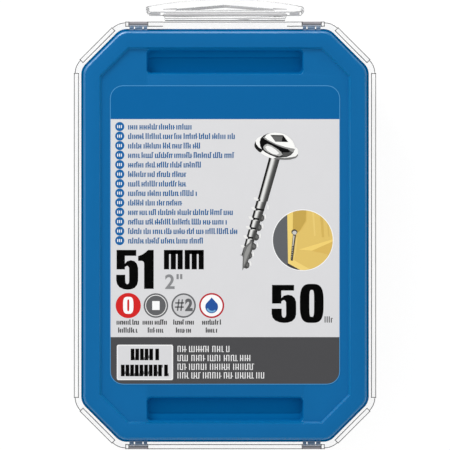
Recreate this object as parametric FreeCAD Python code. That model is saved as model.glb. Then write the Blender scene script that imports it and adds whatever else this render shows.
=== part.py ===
# Retail screw box: a clear tray with a hang tab, a clip-on hinged lid with a label, and fifty screws inside.
# The box lies on its back. +X is to the right, +Y is towards the hang tab and +Z is towards the label.
# Millimetres throughout. The origin is at the middle of the underside.
import FreeCAD, Part
import math
import os

from FreeCAD import Vector

# Overall form: an octagon with cut corners
BOX_WIDTH = 102.0
BOX_LENGTH = 144.3
CORNER_CUT = 14.7
RIM_CORNER_RADIUS = 6.4

# Clear tray
TRAY_WALL = 1.6
TRAY_FLOOR = 1.6
FLANGE_THICKNESS = 1.6
FLANGE_INSET = 0.25
TRAY_TOP_INSET = 3.1
TRAY_DRAFT = 1.3
TRAY_CORNER_RADIUS = 4.0
TRAY_FOOT_RADIUS = 1.8

# Raised curb that stands on each straight run of the rim
CURB_THICKNESS = 1.7
CURB_STEP_HEIGHT = 1.2

# Lid
LID_HEIGHT = 8.4
LID_GAP = 0.75
LID_CORNER_RADIUS = 5.0
LID_WALL = 1.6
LID_DRAFT = 0.9
LID_EDGE_RADIUS = 0.8
BORDER_WIDTH = 6.9
BORDER_SLOPE = 0.7
PANEL_DEPTH = 1.2
LID_LIP_DEPTH = 1.4
LID_LIP_THICKNESS = 1.2
LID_LIP_CLEARANCE = 0.4

# Two deep pockets in the lid's panel, each with a ledge along its outer side
POCKET_SIDE_MARGIN = 5.93
POCKET_BREADTH = 8.3
POCKET_DEPTH = 4.6
POCKET_DRAFT = 0.7
POCKET_ROUNDING = 1.2
POCKET_BEVEL = 0.5
LEDGE_BREADTH = 2.1
LEDGE_HEIGHT = 1.0

# Clips: bars across windows in the curb, with the lid's hooks round them
CLIP_FROM_CORNER = 4.4
CLIP_WIDTH = 6.2
BAR_RADIUS = 0.85
BAR_INSET = 0.85
BAR_RISE = 3.3
HOOK_CLEARANCE = 0.1
HOOK_THICKNESS = 0.55
HOOK_START = -122.0
HOOK_END = 35.0
WINDOW_CLEARANCE = 0.3
OUTER_HOOK_WIDTH = 1.5
INNER_HOOK_WIDTH = 1.2
HOOK_SLIT = 0.4

# Hang tab, leaning back from the plane of the label
TAB_LEAN = 70.0
TAB_AXIS_OFFSET = 0.75
TAB_ROOT_RADIUS = 0.5
NECK_FROM_CLIP = 5.25
NECK_TAPER = 0.65
NECK_THICKNESS = 0.5
TAB_BAR_THICKNESS = 1.5
TAB_BAR_START = 4.4
TAB_EAR_LENGTH = 5.85
TAB_EAR_HEIGHT = 5.2
TAB_EAR_RADIUS = 1.4
TAB_EAR_BEVEL = 1.2
SLOT_SIDE_MARGIN = 5.75
SLOT_SILL = 1.9
SLOT_HEIGHT = 5.3
SLOT_CROWN = 5.4
SLOT_CORNER_RADIUS = 0.6

# Label
LABEL_SIDE_MARGIN = 2.85
LABEL_POCKET_MARGIN = 4.05
LABEL_OFFSET = 0.15
LABEL_CORNER_RADIUS = 4.4
LABEL_THICKNESS = 0.15

# Screws
SCREW_LENGTH = 51.0
HEAD_DIAMETER = 9.4
WASHER_THICKNESS = 1.1
CROWN_DIAMETER = 4.6
DOME_HEIGHT = 2.0
SHANK_DIAMETER = 3.2
THREAD_DIAMETER = 4.2
THREAD_LENGTH = 30.0
THREAD_RUNOUT = 1.5
TIP_LENGTH = 6.0
DRIVE_WIDTH = 2.9
DRIVE_DEPTH = 2.2
HEAD_SIDES = 8
SHANK_SIDES = 6
COLUMN_GAP = 0.25
STACK_GAP = 0.3
SEAT_GAP = 0.15
END_GAP = 0.8
SLIP = 1.6
CROSS_SPACING = 11.0
LAYERS = 2
HEADROOM = 3.75

# Places that follow from the sizes above
HALF_WIDTH = BOX_WIDTH / 2
HALF_LENGTH = BOX_LENGTH / 2
HEAD_RADIUS = HEAD_DIAMETER / 2
THREAD_RADIUS = THREAD_DIAMETER / 2
COLUMN_PITCH = HEAD_RADIUS + THREAD_RADIUS + COLUMN_GAP
STACK_TOP = TRAY_FLOOR + SEAT_GAP + LAYERS * HEAD_DIAMETER + (LAYERS - 1) * STACK_GAP
POCKET_FLOOR = STACK_TOP + HEADROOM + LID_WALL
PANEL_TOP = POCKET_FLOOR + POCKET_DEPTH
BOX_HEIGHT = PANEL_TOP + PANEL_DEPTH
FLANGE_TOP = BOX_HEIGHT - LID_HEIGHT
FLANGE_UNDERSIDE = FLANGE_TOP - FLANGE_THICKNESS
BAR_HEIGHT = FLANGE_TOP + BAR_RISE
CURB_TOP = BAR_HEIGHT + BAR_RADIUS
LID_INSET = CURB_THICKNESS + LID_GAP
PANEL_INSET = LID_INSET + BORDER_WIDTH
FLOOR_INSET = TRAY_TOP_INSET + TRAY_DRAFT
CORNER_TRIM = RIM_CORNER_RADIUS * math.tan(math.radians(22.5))
INSET_CUT_LOSS = 2 - math.sqrt(2)
END_RUN_HALF = HALF_WIDTH - CORNER_CUT - CORNER_TRIM
CLIP_X = END_RUN_HALF - CLIP_FROM_CORNER
MIDDLE_HOOK_WIDTH = (CLIP_WIDTH - 2 * HOOK_CLEARANCE - 2 * HOOK_SLIT - OUTER_HOOK_WIDTH - INNER_HOOK_WIDTH)
PANEL_END_HALF = HALF_WIDTH - PANEL_INSET - CORNER_CUT + PANEL_INSET * INSET_CUT_LOSS
POCKET_WIDTH = 2 * (PANEL_END_HALF - POCKET_SIDE_MARGIN)
LABEL_WIDTH = 2 * (HALF_WIDTH - PANEL_INSET - LABEL_SIDE_MARGIN)
LABEL_LENGTH = 2 * (HALF_LENGTH - PANEL_INSET - POCKET_BREADTH - LABEL_POCKET_MARGIN)
NECK_TOP_WIDTH = 2 * CLIP_X - CLIP_WIDTH - 2 * NECK_FROM_CLIP
NECK_ROOT_WIDTH = NECK_TOP_WIDTH - 2 * NECK_TAPER
TAB_BAR_WIDTH = NECK_TOP_WIDTH + 2 * TAB_EAR_LENGTH
SLOT_WIDTH = TAB_BAR_WIDTH - 2 * SLOT_SIDE_MARGIN
SLOT_BASE = TAB_BAR_START + SLOT_SILL
TAB_TOTAL_HEIGHT = SLOT_BASE + SLOT_HEIGHT + SLOT_CROWN
TAB_BAR_FRONT = TAB_BAR_THICKNESS - NECK_THICKNESS / 2
TAB_AXIS_HEIGHT = FLANGE_UNDERSIDE + FLANGE_THICKNESS / 2
LEAN = math.radians(TAB_LEAN)
TAB_REACH = TAB_AXIS_OFFSET + TAB_TOTAL_HEIGHT * math.cos(LEAN) + TAB_BAR_FRONT * math.sin(LEAN)
BODY_Y = -TAB_REACH / 2


def corner_arc(before, corner, after, radius, z):
    """The start, middle and end of the arc that rounds one corner of an outline."""
    back = (Vector(*before, z) - Vector(*corner, z)).normalize()
    ahead = (Vector(*after, z) - Vector(*corner, z)).normalize()
    half_angle = back.getAngle(ahead) / 2
    middle_line = (back + ahead).normalize()
    reach = radius / math.tan(half_angle)
    centre = Vector(*corner, z) + middle_line * (radius / math.sin(half_angle))
    start = Vector(*corner, z) + back * reach
    end = Vector(*corner, z) + ahead * reach
    return start, centre - middle_line * radius, end


def sharp_outline(points, z):
    """A closed wire through the points, at height z."""
    return Part.makePolygon([Vector(*point, z) for point in points + points[:1]])


def rounded_outline(points, radius, z):
    """A closed wire through the points, at height z, with every corner rounded."""
    count = len(points)
    arcs = [corner_arc(points[i - 1], points[i], points[(i + 1) % count], radius, z) for i in range(count)]
    edges = []
    for i, (start, middle, end) in enumerate(arcs):
        edges.append(Part.Arc(start, middle, end).toShape())
        edges.append(Part.LineSegment(end, arcs[(i + 1) % count][0]).toShape())
    return Part.Wire(edges)


def octagon_points(inset):
    """The box's octagon, moved inwards from the rim by the inset."""
    half_x = HALF_WIDTH - inset
    half_y = HALF_LENGTH - inset
    cut = CORNER_CUT - inset * INSET_CUT_LOSS
    quarter = [(half_x, half_y - cut), (half_x - cut, half_y)]
    points = []
    for sx, sy in ((1, 1), (-1, 1), (-1, -1), (1, -1)):
        side = [(sx * x, sy * y + BODY_Y) for x, y in quarter]
        points += side if sx * sy > 0 else side[::-1]
    return points


def octagon(inset, radius, z):
    return rounded_outline(octagon_points(inset), radius, z)


def rectangle(width, low_y, high_y, radius, z):
    half = width / 2
    corners = [(half, low_y), (half, high_y), (-half, high_y), (-half, low_y)]
    return rounded_outline(corners, radius, z) if radius else sharp_outline(corners, z)


def prism(outline, height):
    return Part.Face(outline).extrude(Vector(0, 0, height))


def loft(lower, upper):
    return Part.makeLoft([lower, upper], True, True)


def block(low, high):
    """A box from its lowest corner to its highest."""
    return Part.makeBox(high[0] - low[0], high[1] - low[1], high[2] - low[2], Vector(*low))


def fuse(shapes):
    return shapes[0].multiFuse(shapes[1:]).removeSplitter()


def edges_at(shape, z):
    """The shape's edges that lie flat at height z."""
    return [e for e in shape.Edges if all(abs(v.Z - z) < 1e-5 for v in e.Vertexes)]


def clip_places():
    """Each clip's middle in X, and which end of the box it is on: 1 at the hang tab, -1 at the hinge."""
    return [(side * CLIP_X, end) for end in (-1, 1) for side in (-1, 1)]


def bar_y(end):
    return BODY_Y + end * (HALF_LENGTH - BAR_INSET)


def curb_run(start, end):
    """One straight run of the raised rim, between the rounded corners at its two ends."""
    along = Vector(*end, 0) - Vector(*start, 0)
    run = along.Length - 2 * CORNER_TRIM
    step = Part.makeBox(run, LID_INSET - FLANGE_INSET, FLANGE_THICKNESS + CURB_STEP_HEIGHT)
    curb = Part.makeBox(run, CURB_THICKNESS, CURB_TOP - FLANGE_UNDERSIDE)
    shape = step.fuse(curb)
    angle = math.degrees(math.atan2(along.y, along.x))
    shape.rotate(Vector(0, 0, 0), Vector(0, 0, 1), angle)
    shape.translate(Vector(*start, FLANGE_UNDERSIDE) + along.normalize() * CORNER_TRIM)
    return shape


def raised_rim():
    points = octagon_points(0)
    return [curb_run(points[i], points[(i + 1) % len(points)]) for i in range(len(points))]


def clip_window(x, end):
    """The gap in the curb that a clip's hooks turn in."""
    half = CLIP_WIDTH / 2
    reach = BAR_RADIUS + HOOK_CLEARANCE + HOOK_THICKNESS + WINDOW_CLEARANCE
    y = bar_y(end)
    return block((x - half, y - LID_INSET, BAR_HEIGHT - reach), (x + half, y + LID_INSET, CURB_TOP + 1))


def clip_bar(x, end):
    """The round bar across a window, with both its ends in the curb."""
    length = CLIP_WIDTH + CURB_THICKNESS
    base = Vector(x - length / 2, bar_y(end), BAR_HEIGHT)
    return Part.makeCylinder(BAR_RADIUS, length, base, Vector(1, 0, 0))


def tab_notch():
    """The low stretch of the curb behind the hang tab's neck."""
    half = NECK_TOP_WIDTH / 2
    y = BODY_Y + HALF_LENGTH
    low = (-half, y - LID_INSET, FLANGE_TOP + CURB_STEP_HEIGHT)
    return block(low, (half, y + 1, CURB_TOP + 1))


def tray():
    wall = loft(octagon(FLOOR_INSET, TRAY_CORNER_RADIUS, 0),
                octagon(TRAY_TOP_INSET, TRAY_CORNER_RADIUS, FLANGE_UNDERSIDE))
    wall = wall.makeFillet(TRAY_FOOT_RADIUS, edges_at(wall, 0))
    flange = prism(octagon(FLANGE_INSET, RIM_CORNER_RADIUS, FLANGE_UNDERSIDE), FLANGE_THICKNESS)
    hollow = loft(octagon(FLOOR_INSET + TRAY_WALL, TRAY_CORNER_RADIUS - TRAY_WALL, TRAY_FLOOR),
                  octagon(TRAY_TOP_INSET + TRAY_WALL, TRAY_CORNER_RADIUS - TRAY_WALL, FLANGE_TOP))
    shape = fuse([wall, flange] + raised_rim()).cut(hollow)
    shape = shape.cut([clip_window(x, end) for x, end in clip_places()] + [tab_notch()])
    return fuse([shape] + [clip_bar(x, end) for x, end in clip_places()])


def pocket_cutter(end, grow):
    """The space of one pocket, from its floor up past the panel. It grows by a wall for the underside."""
    outer = HALF_LENGTH - PANEL_INSET
    inner = outer - POCKET_BREADTH
    radius = 0 if grow else POCKET_ROUNDING

    def outline(low, high, width, spread, z):
        ends = sorted((BODY_Y + end * (low - spread), BODY_Y + end * (high + spread)))
        return rectangle(width + 2 * spread, ends[0], ends[1], radius, z)

    floor = POCKET_FLOOR - grow
    top = BOX_HEIGHT
    deep = loft(outline(inner, outer - LEDGE_BREADTH, POCKET_WIDTH, grow - POCKET_DRAFT, floor),
                outline(inner, outer - LEDGE_BREADTH, POCKET_WIDTH, grow, top))
    ledge = loft(outline(inner, outer, POCKET_WIDTH, grow - POCKET_DRAFT, floor + LEDGE_HEIGHT),
                 outline(inner, outer, POCKET_WIDTH, grow, top))
    return deep.fuse(ledge)


def pocket_bevel(end):
    """The softened edge where a pocket meets the panel."""
    outer = HALF_LENGTH - PANEL_INSET
    ends = sorted((BODY_Y + end * (outer - POCKET_BREADTH), BODY_Y + end * outer))
    lower = rectangle(POCKET_WIDTH - POCKET_BEVEL, ends[0], ends[1], POCKET_ROUNDING, PANEL_TOP - POCKET_BEVEL)
    upper = rectangle(POCKET_WIDTH + POCKET_BEVEL, ends[0] - POCKET_BEVEL, ends[1] + POCKET_BEVEL,
                      POCKET_ROUNDING, PANEL_TOP + POCKET_BEVEL)
    return loft(lower, upper)


def ring_sector(inner, outer, start, end, x, width):
    """Part of a ring about the X axis, between two angles measured from +Y up towards +Z."""
    def at(radius, degrees):
        turn = math.radians(degrees)
        return Vector(x, radius * math.cos(turn), radius * math.sin(turn))

    middle = (start + end) / 2
    outline = Part.Wire([
        Part.Arc(at(outer, start), at(outer, middle), at(outer, end)).toShape(),
        Part.LineSegment(at(outer, end), at(inner, end)).toShape(),
        Part.Arc(at(inner, end), at(inner, middle), at(inner, start)).toShape(),
        Part.LineSegment(at(inner, start), at(outer, start)).toShape(),
    ])
    return Part.Face(outline).extrude(Vector(width, 0, 0))


def hook(x, width, end):
    """One finger of a clip: a hook under the bar and the arm that joins it to the lid's side."""
    inner = BAR_RADIUS + HOOK_CLEARANCE
    outer = inner + HOOK_THICKNESS
    ring = ring_sector(inner, outer, HOOK_START, HOOK_END, x, width)
    root = LID_INSET - BAR_INSET + LID_WALL / 2
    arm = block((x, inner + HOOK_THICKNESS / 3, -outer / 2), (x + width, root, outer / 2))
    shape = ring.fuse(arm).removeSplitter()
    if end > 0:
        shape = shape.mirror(Vector(0, 0, 0), Vector(0, 1, 0))
    shape.translate(Vector(0, bar_y(end), BAR_HEIGHT))
    return shape


def clip_hooks(middle, end):
    """The three fingers of one clip, side by side with slits between them, mirrored left to right."""
    side = 1 if middle > 0 else -1
    reach = CLIP_WIDTH / 2 - HOOK_CLEARANCE
    hooks = []
    for width in (OUTER_HOOK_WIDTH, MIDDLE_HOOK_WIDTH, INNER_HOOK_WIDTH):
        outer_end = middle + side * reach
        hooks.append(hook(min(outer_end, outer_end - side * width), width, end))
        reach -= width + HOOK_SLIT
    return hooks


def lid():
    skirt = loft(octagon(LID_INSET, LID_CORNER_RADIUS, FLANGE_TOP),
                 octagon(LID_INSET + LID_DRAFT, LID_CORNER_RADIUS, BOX_HEIGHT))
    skirt = skirt.makeFillet(LID_EDGE_RADIUS, edges_at(skirt, BOX_HEIGHT))
    recess = loft(sharp_outline(octagon_points(PANEL_INSET), PANEL_TOP),
                  sharp_outline(octagon_points(PANEL_INSET - BORDER_SLOPE), BOX_HEIGHT))
    inside = LID_INSET + LID_WALL
    hollow = loft(octagon(inside, LID_CORNER_RADIUS - LID_WALL, FLANGE_TOP),
                  octagon(inside + LID_DRAFT, LID_CORNER_RADIUS - LID_WALL, BOX_HEIGHT - LID_WALL))
    under_panel = prism(sharp_outline(octagon_points(PANEL_INSET - LID_WALL), PANEL_TOP - LID_WALL), LID_WALL)
    hollow = hollow.cut([under_panel] + [pocket_cutter(end, LID_WALL) for end in (-1, 1)])
    shape = skirt.cut([recess, hollow])
    shape = shape.cut([pocket_cutter(end, 0) for end in (-1, 1)] + [pocket_bevel(end) for end in (-1, 1)])
    hooks = [finger for x, end in clip_places() for finger in clip_hooks(x, end)]
    return fuse([shape, locating_lip()] + hooks)


def locating_lip():
    """The thin wall under the lid that drops inside the tray's mouth and centres it."""
    outer = TRAY_TOP_INSET + TRAY_WALL + LID_LIP_CLEARANCE
    radius = TRAY_CORNER_RADIUS - TRAY_WALL
    low = FLANGE_TOP - LID_LIP_DEPTH
    high = BOX_HEIGHT - LID_WALL
    ring = prism(octagon(outer, radius, low), high - low)
    return ring.cut(prism(octagon(outer + LID_LIP_THICKNESS, radius, low), high - low))


def label():
    middle = BODY_Y + LABEL_OFFSET
    outline = rectangle(LABEL_WIDTH, middle - LABEL_LENGTH / 2, middle + LABEL_LENGTH / 2,
                        LABEL_CORNER_RADIUS, PANEL_TOP)
    return prism(outline, LABEL_THICKNESS)


def tab_neck():
    """The thin web between the tab's rounded root and its thick bar."""
    low = -NECK_THICKNESS / 2
    top = TAB_BAR_START + SLOT_CORNER_RADIUS
    corners = [(-NECK_ROOT_WIDTH / 2, 0), (NECK_ROOT_WIDTH / 2, 0),
               (NECK_TOP_WIDTH / 2, top), (-NECK_TOP_WIDTH / 2, top)]
    outline = Part.makePolygon([Vector(x, y, low) for x, y in corners + corners[:1]])
    root = Part.makeCylinder(TAB_ROOT_RADIUS, NECK_ROOT_WIDTH, Vector(-NECK_ROOT_WIDTH / 2, 0, 0),
                             Vector(1, 0, 0))
    return prism(outline, NECK_THICKNESS).fuse(root)


def tab_bar():
    """The thick bar with an arched top, and an ear at each end that stands past the neck."""
    half = TAB_BAR_WIDTH / 2
    low = -NECK_THICKNESS / 2
    ear_top = TAB_BAR_START + TAB_EAR_HEIGHT
    left = Vector(-half, TAB_BAR_START, low)
    right = Vector(half, TAB_BAR_START, low)
    arch = Part.Arc(Vector(half, ear_top, low), Vector(0, TAB_TOTAL_HEIGHT, low), Vector(-half, ear_top, low))
    outline = Part.Wire([
        Part.LineSegment(left, right).toShape(),
        Part.LineSegment(right, Vector(half, ear_top, low)).toShape(),
        arch.toShape(),
        Part.LineSegment(Vector(-half, ear_top, low), left).toShape(),
    ])
    bar = prism(outline, TAB_BAR_THICKNESS)
    corners = [e for e in bar.Edges if len(e.Vertexes) == 2 and e.Length < TAB_BAR_THICKNESS + 1e-6
               and abs(abs(e.Vertexes[0].X) - half) < 1e-6 and abs(e.Vertexes[0].Z - e.Vertexes[1].Z) > 1e-6]
    return bar.makeFillet(TAB_EAR_RADIUS, corners).cut([ear_wedge(side) for side in (-1, 1)])


def ear_wedge(side):
    """What the slanted end of an ear leaves out, on the side that faces the box."""
    end = side * TAB_BAR_WIDTH / 2
    low = -NECK_THICKNESS / 2
    over = TAB_BAR_THICKNESS
    corners = [(end - side * (TAB_EAR_BEVEL + over), low - over), (end + side * over, low - over),
               (end + side * over, low + TAB_EAR_BEVEL + over)]
    outline = Part.makePolygon([Vector(x, 0, z) for x, z in corners + corners[:1]])
    return Part.Face(outline).extrude(Vector(0, TAB_TOTAL_HEIGHT, 0))


def tab_slot():
    corners = [(SLOT_WIDTH / 2, SLOT_BASE), (0, SLOT_BASE + SLOT_HEIGHT), (-SLOT_WIDTH / 2, SLOT_BASE)]
    return prism(rounded_outline(corners, SLOT_CORNER_RADIUS, -TAB_BAR_THICKNESS), 3 * TAB_BAR_THICKNESS)


def hang_tab():
    shape = fuse([tab_neck(), tab_bar()]).cut(tab_slot())
    shape.rotate(Vector(0, 0, 0), Vector(1, 0, 0), -TAB_LEAN)
    shape.translate(Vector(0, BODY_Y + HALF_LENGTH + TAB_AXIS_OFFSET, TAB_AXIS_HEIGHT))
    return shape


def faceted(rings, sides):
    """A solid about the X axis through rings of (x, radius), with flat sides. The first ring is a point."""
    def corner(ring, side):
        turn = 2 * math.pi * side / sides
        return Vector(ring[0], ring[1] * math.cos(turn), ring[1] * math.sin(turn))

    faces = []
    for lower, upper in zip(rings, rings[1:]):
        for side in range(sides):
            corners = [corner(lower, side), corner(upper, side), corner(upper, side + 1)]
            if lower[1] > 0:
                corners.append(corner(lower, side + 1))
            faces.append(Part.Face(Part.makePolygon(corners + corners[:1])))
    end = [corner(rings[-1], side) for side in range(sides)]
    faces.append(Part.Face(Part.makePolygon(end + end[:1])))
    return Part.Solid(Part.Shell(faces))


def screw():
    """One screw on the X axis: its point at the origin, its head's crown at the screw's full length."""
    washer = SCREW_LENGTH - DOME_HEIGHT - WASHER_THICKNESS
    shank = SHANK_DIAMETER / 2
    stem = faceted([(0, 0), (TIP_LENGTH, THREAD_RADIUS), (THREAD_LENGTH, THREAD_RADIUS),
                    (THREAD_LENGTH + THREAD_RUNOUT, shank), (washer + WASHER_THICKNESS, shank)], SHANK_SIDES)
    head = faceted([(washer, 0), (washer, HEAD_RADIUS), (washer + WASHER_THICKNESS, HEAD_RADIUS),
                    (SCREW_LENGTH, CROWN_DIAMETER / 2)], HEAD_SIDES)
    half = DRIVE_WIDTH / 2
    recess = block((SCREW_LENGTH - DRIVE_DEPTH, -half, -half), (SCREW_LENGTH + 1, half, half))
    return fuse([stem, head]).cut(recess)


def seated(layer):
    """How far a screw of this layer tilts, and the height of its point's axis."""
    rise = (2 * layer + 1) * (HEAD_RADIUS - THREAD_RADIUS) + layer * STACK_GAP
    tilt = math.asin(rise / (SCREW_LENGTH - DOME_HEIGHT - TIP_LENGTH))
    seat = TRAY_FLOOR + SEAT_GAP + (2 * layer + 1) * THREAD_RADIUS + layer * SEAT_GAP
    return math.degrees(tilt), seat - TIP_LENGTH * math.sin(tilt)


def laid_screw(x, y, layer, heading):
    """A screw with its middle at x, y. Heading 0 points its head along +X, 90 along +Y."""
    tilt, height = seated(layer)
    shape = SCREW.copy()
    shape.rotate(Vector(0, 0, 0), Vector(0, 1, 0), -tilt)
    shape.translate(Vector(-SCREW_LENGTH / 2 * math.cos(math.radians(tilt)), 0, height))
    shape.rotate(Vector(0, 0, 0), Vector(0, 0, 1), heading)
    shape.translate(Vector(x, y, 0))
    return shape


def row_limit(x):
    """How far along the box a screw can lie in the column at x, before it meets the end or a cut corner."""
    inset = FLOOR_INSET + TRAY_WALL + END_GAP
    cut = CORNER_CUT - inset * INSET_CUT_LOSS
    end = HALF_LENGTH - inset
    return min(end, end + HALF_WIDTH - inset - cut - abs(x) - HEAD_RADIUS)


def column_places():
    """The middles of the columns of screws that fit side by side across the tray."""
    room = 2 * (HALF_WIDTH - FLOOR_INSET - TRAY_WALL - END_GAP - HEAD_RADIUS)
    count = int(room / COLUMN_PITCH) + 1
    return [(column - (count - 1) / 2) * COLUMN_PITCH for column in range(count)]


def screw_row(layer, end):
    """One layer of screws side by side, head to point, in one half of the tray."""
    screws = []
    for column, x in enumerate(column_places()):
        slip = SLIP * abs(math.sin(1.7 * column + end))
        if row_limit(x) > SCREW_LENGTH + SLIP:
            middle = row_limit(x) - slip - SCREW_LENGTH / 2
            screws.append(laid_screw(x, BODY_Y + end * middle, layer, 90 if column % 2 == 0 else -90))
    return screws


def crosswise_screw(end):
    """A screw that lies across the tray, in the gap between its two halves, if the gap takes it."""
    gap = row_limit(0) - SLIP - SCREW_LENGTH
    if gap < CROSS_SPACING / 2 + HEAD_RADIUS:
        return []
    return [laid_screw(0, BODY_Y + end * CROSS_SPACING / 2, 0, 90 - 90 * end)]


SCREW = screw()

NODES = {
    "tray": tray,
    "hang_tab": hang_tab,
    "lid": lid,
    "label": label,
    "screws_lower_far": lambda: Part.makeCompound(screw_row(0, 1) + crosswise_screw(1)),
    "screws_lower_near": lambda: Part.makeCompound(screw_row(0, -1) + crosswise_screw(-1)),
    "screws_upper_far": lambda: Part.makeCompound(screw_row(1, 1)),
    "screws_upper_near": lambda: Part.makeCompound(screw_row(1, -1)),
}

os.makedirs("parts", exist_ok=True)
for name, make in NODES.items():
    shape = make()
    shape.exportStep("parts/" + name + ".step")
    box = shape.BoundBox
    print(name, len(shape.Solids), "solids", round(shape.Volume / 1000, 2), "cm3", shape.isValid(),
          [round(v, 2) for v in (box.XMin, box.XMax, box.YMin, box.YMax, box.ZMin, box.ZMax)])
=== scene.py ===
# Dressed scene of a screw box: clear tray and hang tab, blue lid, printed label and fifty wood screws.
import math
import random

import bmesh
import bpy
from mathutils import Matrix, Vector


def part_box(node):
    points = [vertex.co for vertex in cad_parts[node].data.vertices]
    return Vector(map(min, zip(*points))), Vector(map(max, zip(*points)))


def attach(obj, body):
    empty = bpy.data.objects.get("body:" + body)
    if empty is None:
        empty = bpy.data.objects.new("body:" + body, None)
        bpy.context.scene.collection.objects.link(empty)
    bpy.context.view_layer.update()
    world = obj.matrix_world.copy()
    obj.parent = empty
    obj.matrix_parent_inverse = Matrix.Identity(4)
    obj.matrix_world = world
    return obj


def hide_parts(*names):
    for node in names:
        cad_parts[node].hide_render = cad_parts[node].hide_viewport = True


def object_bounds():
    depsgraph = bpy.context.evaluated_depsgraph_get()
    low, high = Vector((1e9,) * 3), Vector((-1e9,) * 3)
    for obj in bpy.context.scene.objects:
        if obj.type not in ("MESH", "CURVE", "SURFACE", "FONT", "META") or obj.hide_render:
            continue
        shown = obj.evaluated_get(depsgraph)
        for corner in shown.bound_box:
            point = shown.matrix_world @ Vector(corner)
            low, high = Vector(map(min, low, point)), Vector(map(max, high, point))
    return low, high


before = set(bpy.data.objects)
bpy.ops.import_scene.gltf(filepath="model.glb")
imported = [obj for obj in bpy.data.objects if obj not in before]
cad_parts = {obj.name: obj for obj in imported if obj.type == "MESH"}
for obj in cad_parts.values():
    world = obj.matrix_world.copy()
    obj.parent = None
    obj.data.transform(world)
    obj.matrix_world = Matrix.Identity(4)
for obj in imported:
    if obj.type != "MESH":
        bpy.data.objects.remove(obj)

MM = 0.001
CAD_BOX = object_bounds()
WELD = 2e-6
SHARP = math.radians(28)

# Parts of a face's normal that point up: below the first it is a wall, above the second it is flat
STEEP = 0.3
FLAT = 0.985

# Tray and lid, in millimetres. An inset is a distance inside the tray's outer octagon.
TRAY_LOW, TRAY_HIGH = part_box("tray")
HALF_WIDTH = (TRAY_HIGH.x - TRAY_LOW.x) / 2 / MM
HALF_LENGTH = (TRAY_HIGH.y - TRAY_LOW.y) / 2 / MM
MIDDLE_Y = (TRAY_HIGH.y + TRAY_LOW.y) / 2 / MM
CORNER_CUT = 14.7
CURB_TOP = TRAY_HIGH.z / MM
RIM_INSET = 0.9
CLIP_ACROSS = 29.25
CLIP_HALF = 3.2
CLIP_LOW = CURB_TOP - 1.9
CLIP_INSET = 2.65
# Insets that split each clip bar into bands of painted shade and painted highlight
BAR_PAINTED_BANDS = (0.85, 1.16, 1.5)
WALL_INSET = 3.6
PANEL_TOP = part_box("lid")[1].z / MM - 1.2
POCKET_TOP = PANEL_TOP - 0.3

# Hang tab, in millimetres: down from its root, and through it from back to front
TAB_LEAN = math.radians(70)
TAB_THROUGH = Vector((0, math.sin(TAB_LEAN), math.cos(TAB_LEAN)))
TAB_DOWN = Vector((0, math.cos(TAB_LEAN), -math.sin(TAB_LEAN)))
TAB_LOW, TAB_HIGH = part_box("hang_tab")
TAB_ROOT_RADIUS = 0.5
TAB_ROOT = Vector((0, TAB_LOW.y + TAB_ROOT_RADIUS * MM, TAB_HIGH.z - TAB_ROOT_RADIUS * MM))
NECK_HALF = 20.25
NECK_FRONT = 0.25
BAR_START = 4.4
BAR_FRONT = 1.25
BAR_BACK = -0.25
SLOT_SILL = 6.3
SLOT_TOP = 11.6
SLOT_HALF = 20.95
SLOT_END = 16.2
ARCH_START = 12.5

# Thin lines and sheets of painted shade and painted highlight in clear plastic, standing for how light bends
# through it, in millimetres
LINE_DEPTH = 0.03
LINE_SHARE = 0.9
SKIN = 0.03
PAINT_SHEET_HALF = 20.5
PAINT_SHEET_START = 2.8
EAR_INNER = 21.8
EAR_OUTER = 25.2
ROOF_DEPTH = 1.05
ROOF_SLOPE = 0.36
ROOF_STEPS = 10
ROOT_LINE_TURNS = ((20, 45), (45, 65), (-25, -55), (-55, -85))

# Screws, in millimetres
SCREW_LENGTH = 51.0
HEAD_RADIUS = 4.65
WASHER_THICKNESS = 1.1
DOME_HEIGHT = 2.0
SHANK_RADIUS = 1.6
SHANK_ROWS = (30.8, 31.6, 38.0, 44.0, 47.3)
CORE_RADIUS = 1.3
THREAD_RADIUS = 2.08
THREAD_LENGTH = 30.0
THREAD_PITCH = 2.8
THREAD_FADE = 1.4
SHANK_FADE = 1.5
RIDGE_HALF = 0.2
ROWS_IN_TURN = 9
TIP_LENGTH = 6.0
TIP_RADIUS = 0.02
RECESS_HALF = 1.45
RECESS_DEPTH = 2.2
AROUND = 24
SCREW_CREASE = math.radians(42)

# Label, in millimetres from its top left corner
LABEL_LOW, LABEL_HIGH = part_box("label")
LABEL_WIDTH = (LABEL_HIGH.x - LABEL_LOW.x) / MM
LABEL_LENGTH = (LABEL_HIGH.y - LABEL_LOW.y) / MM
HEADER_END = 11.4
BAND_START = 84.9
LABEL_CORNER = 4.4
CORNER_STEPS = 6
INK_STEP = 0.012

# Light, floor and camera. The lamp and the floor's half are in metres, its drop and the view in millimetres.
WORLD_LIGHT = 0.8
KEY_POWER = 4.4
KEY_SIZE = 0.35
KEY_FROM = (-0.42, 0.8, 0.6)
KEY_TARGET = (0, 0, 0.02)
GLOSS_LOW = 0.15
GLOSS_HIGH = 0.02
GLOSS_TOP = 0.95
SOFTBOX_EDGE = (0.74, 0.89)
SOFTBOX_GLOSS = 3.0
FLOOR_HALF = 12.0
FLOOR_DROP = 0.02
FLOOR_GREY = 0.86
FLOOR_GLOW = 1.1
FLOOR_GLOW_SHARE = 0.82
CAMERA_LENS = 1400
VIEW_WIDTH = 151.74
VIEW_MIDDLE_Y = -0.36


def tone(red, green, blue):
    """A colour as the display shows it, 0 to 255, made linear for a shader."""
    def linear(value):
        value /= 255
        return value / 12.92 if value <= 0.04045 else ((value + 0.055) / 1.055) ** 2.4
    return linear(red), linear(green), linear(blue), 1.0


# Materials

def node_with(nodes, kind, **values):
    """A new shader node, with values set on its own sockets."""
    node = nodes.new(kind)
    for socket, value in values.items():
        node.inputs[socket.replace("_", " ")].default_value = value
    return node


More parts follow.
